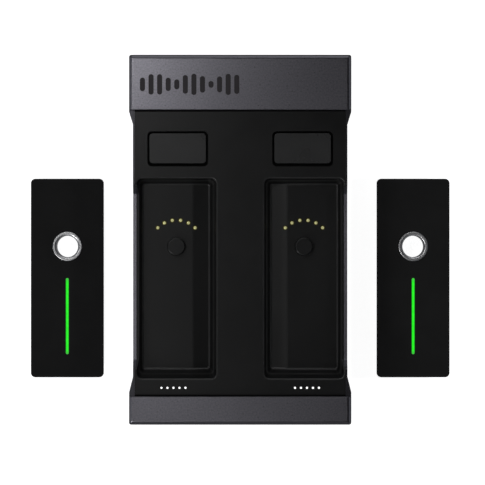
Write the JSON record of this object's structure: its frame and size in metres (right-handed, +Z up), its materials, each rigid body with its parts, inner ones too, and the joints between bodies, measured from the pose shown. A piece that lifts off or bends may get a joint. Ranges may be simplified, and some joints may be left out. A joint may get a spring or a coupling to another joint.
{
  "type": "wireless record-player transmitter set",
  "caption": "Dark metal and black charging receiver with transmitter bays, buttons and pin contacts, beside flat transmitters with a spindle hole and a green light bar.",
  "frame": {"origin": "middle of the whole set, on the surface it stands on", "axes": "+X to the right as seen from the front, +Y towards the receiver's connectors, +Z up out of the bays"},
  "size_m": [0.1484, 0.1296, 0.036],
  "materials": {
    "band_metal": "fine-blasted dark grey anodised aluminium",
    "band_mark": "dark filled mark, satin",
    "face_black": "satin black moulding with a very fine texture",
    "button_black": "satin black",
    "base_black": "textured black moulding",
    "foot_rubber": "matt black rubber",
    "pan_black": "textured black moulding",
    "screw_steel": "blackened steel",
    "pin_gold": "polished gold plating",
    "barrel_dark": "dull gold plating in shadow",
    "jack_gold": "gold-plated, turned",
    "insert_white": "glossy white",
    "insert_red": "glossy red",
    "usb_steel": "drawn stainless steel",
    "board_black": "dark solder resist",
    "chip_black": "matt epoxy",
    "shield_steel": "bright tinned steel",
    "antenna_film": "amber film",
    "switch_plastic": "moulded",
    "contact_plastic": "moulded",
    "light_pipe": "milky clear, lit white",
    "led_chip": "phosphor-coated",
    "unit_black": "smooth satin black",
    "unit_shell_black": "satin black",
    "spindle_chrome": "mirror-polished",
    "light_green": "diffusing lens, lit green",
    "battery_foil": "matt laminated foil",
    "pad_rubber": "matt black rubber"
  },
  "bodies": {
    "receiver": {"upper_shell": "band_metal", "band_mark": "band_mark", "base_plate": "base_black", "feet": "foot_rubber", "base_screws": "screw_steel", "board_screws": "screw_steel", "bay_tray": "face_black", "switch_bodies": "switch_plastic", "button_board": "board_black", "level_leds": "led_chip", "light_board": "board_black", "pin_barrels": "barrel_dark", "main_board": "board_black", "board_chips": "chip_black", "radio_shield": "shield_steel", "antenna": "antenna_film", "rear_panel": "pan_black", "jack_block": "contact_plastic", "jack_barrels": "jack_gold", "jack_inserts_white": "insert_white", "jack_inserts_red": "insert_red", "usb_socket": "usb_steel", "left_level_lights": "light_pipe", "right_level_lights": "light_pipe", "left_contact_block": "contact_plastic", "right_contact_block": "contact_plastic"},
    "left_button": {"left_button": "button_black", "left_switch_plunger": "switch_plastic"},
    "left_pin_1": {"left_pin_1": "pin_gold"},
    "left_pin_2": {"left_pin_2": "pin_gold"},
    "left_pin_3": {"left_pin_3": "pin_gold"},
    "left_pin_4": {"left_pin_4": "pin_gold"},
    "left_pin_5": {"left_pin_5": "pin_gold"},
    "left_pin_6": {"left_pin_6": "pin_gold"},
    "left_transmitter": {"left_unit_shell": "unit_shell_black", "left_unit_cover": "unit_black", "left_unit_board": "board_black", "left_unit_battery": "battery_foil", "left_unit_contacts": "pin_gold", "left_unit_pad": "pad_rubber", "left_unit_screws": "screw_steel", "left_spindle_ring": "spindle_chrome", "left_light_bar": "light_green"},
    "right_button": {"right_button": "button_black", "right_switch_plunger": "switch_plastic"},
    "right_pin_1": {"right_pin_1": "pin_gold"},
    "right_pin_2": {"right_pin_2": "pin_gold"},
    "right_pin_3": {"right_pin_3": "pin_gold"},
    "right_pin_4": {"right_pin_4": "pin_gold"},
    "right_pin_5": {"right_pin_5": "pin_gold"},
    "right_pin_6": {"right_pin_6": "pin_gold"},
    "right_transmitter": {"right_unit_shell": "unit_shell_black", "right_unit_cover": "unit_black", "right_unit_board": "board_black", "right_unit_battery": "battery_foil", "right_unit_contacts": "pin_gold", "right_unit_pad": "pad_rubber", "right_unit_screws": "screw_steel", "right_spindle_ring": "spindle_chrome", "right_light_bar": "light_green"}
  },
  "joints": [
    {"name": "left_button_press", "type": "slide", "parent": "receiver", "child": "left_button", "axis": [0, 0, -1], "range_m": [0, 0.0005], "stiffness_N_per_m": 2000, "springref_m": -0.0002},
    {"name": "left_pin_1_press", "type": "slide", "parent": "receiver", "child": "left_pin_1", "axis": [0, 0, -1], "range_m": [0, 0.0009], "stiffness_N_per_m": 400, "springref_m": -0.0004},
    {"name": "left_pin_2_press", "type": "slide", "parent": "receiver", "child": "left_pin_2", "axis": [0, 0, -1], "range_m": [0, 0.0009], "stiffness_N_per_m": 400, "springref_m": -0.0004},
    {"name": "left_pin_3_press", "type": "slide", "parent": "receiver", "child": "left_pin_3", "axis": [0, 0, -1], "range_m": [0, 0.0009], "stiffness_N_per_m": 400, "springref_m": -0.0004},
    {"name": "left_pin_4_press", "type": "slide", "parent": "receiver", "child": "left_pin_4", "axis": [0, 0, -1], "range_m": [0, 0.0009], "stiffness_N_per_m": 400, "springref_m": -0.0004},
    {"name": "left_pin_5_press", "type": "slide", "parent": "receiver", "child": "left_pin_5", "axis": [0, 0, -1], "range_m": [0, 0.0009], "stiffness_N_per_m": 400, "springref_m": -0.0004},
    {"name": "left_pin_6_press", "type": "slide", "parent": "receiver", "child": "left_pin_6", "axis": [0, 0, -1], "range_m": [0, 0.0009], "stiffness_N_per_m": 400, "springref_m": -0.0004},
    {"name": "left_transmitter_lift", "type": "slide", "parent": "receiver", "child": "left_transmitter", "axis": [0, 0, 1], "range_m": [0, 0.06]},
    {"name": "right_button_press", "type": "slide", "parent": "receiver", "child": "right_button", "axis": [0, 0, -1], "range_m": [0, 0.0005], "stiffness_N_per_m": 2000, "springref_m": -0.0002},
    {"name": "right_pin_1_press", "type": "slide", "parent": "receiver", "child": "right_pin_1", "axis": [0, 0, -1], "range_m": [0, 0.0009], "stiffness_N_per_m": 400, "springref_m": -0.0004},
    {"name": "right_pin_2_press", "type": "slide", "parent": "receiver", "child": "right_pin_2", "axis": [0, 0, -1], "range_m": [0, 0.0009], "stiffness_N_per_m": 400, "springref_m": -0.0004},
    {"name": "right_pin_3_press", "type": "slide", "parent": "receiver", "child": "right_pin_3", "axis": [0, 0, -1], "range_m": [0, 0.0009], "stiffness_N_per_m": 400, "springref_m": -0.0004},
    {"name": "right_pin_4_press", "type": "slide", "parent": "receiver", "child": "right_pin_4", "axis": [0, 0, -1], "range_m": [0, 0.0009], "stiffness_N_per_m": 400, "springref_m": -0.0004},
    {"name": "right_pin_5_press", "type": "slide", "parent": "receiver", "child": "right_pin_5", "axis": [0, 0, -1], "range_m": [0, 0.0009], "stiffness_N_per_m": 400, "springref_m": -0.0004},
    {"name": "right_pin_6_press", "type": "slide", "parent": "receiver", "child": "right_pin_6", "axis": [0, 0, -1], "range_m": [0, 0.0009], "stiffness_N_per_m": 400, "springref_m": -0.0004},
    {"name": "right_transmitter_lift", "type": "slide", "parent": "receiver", "child": "right_transmitter", "axis": [0, 0, 1], "range_m": [0, 0.06]}
  ]
}
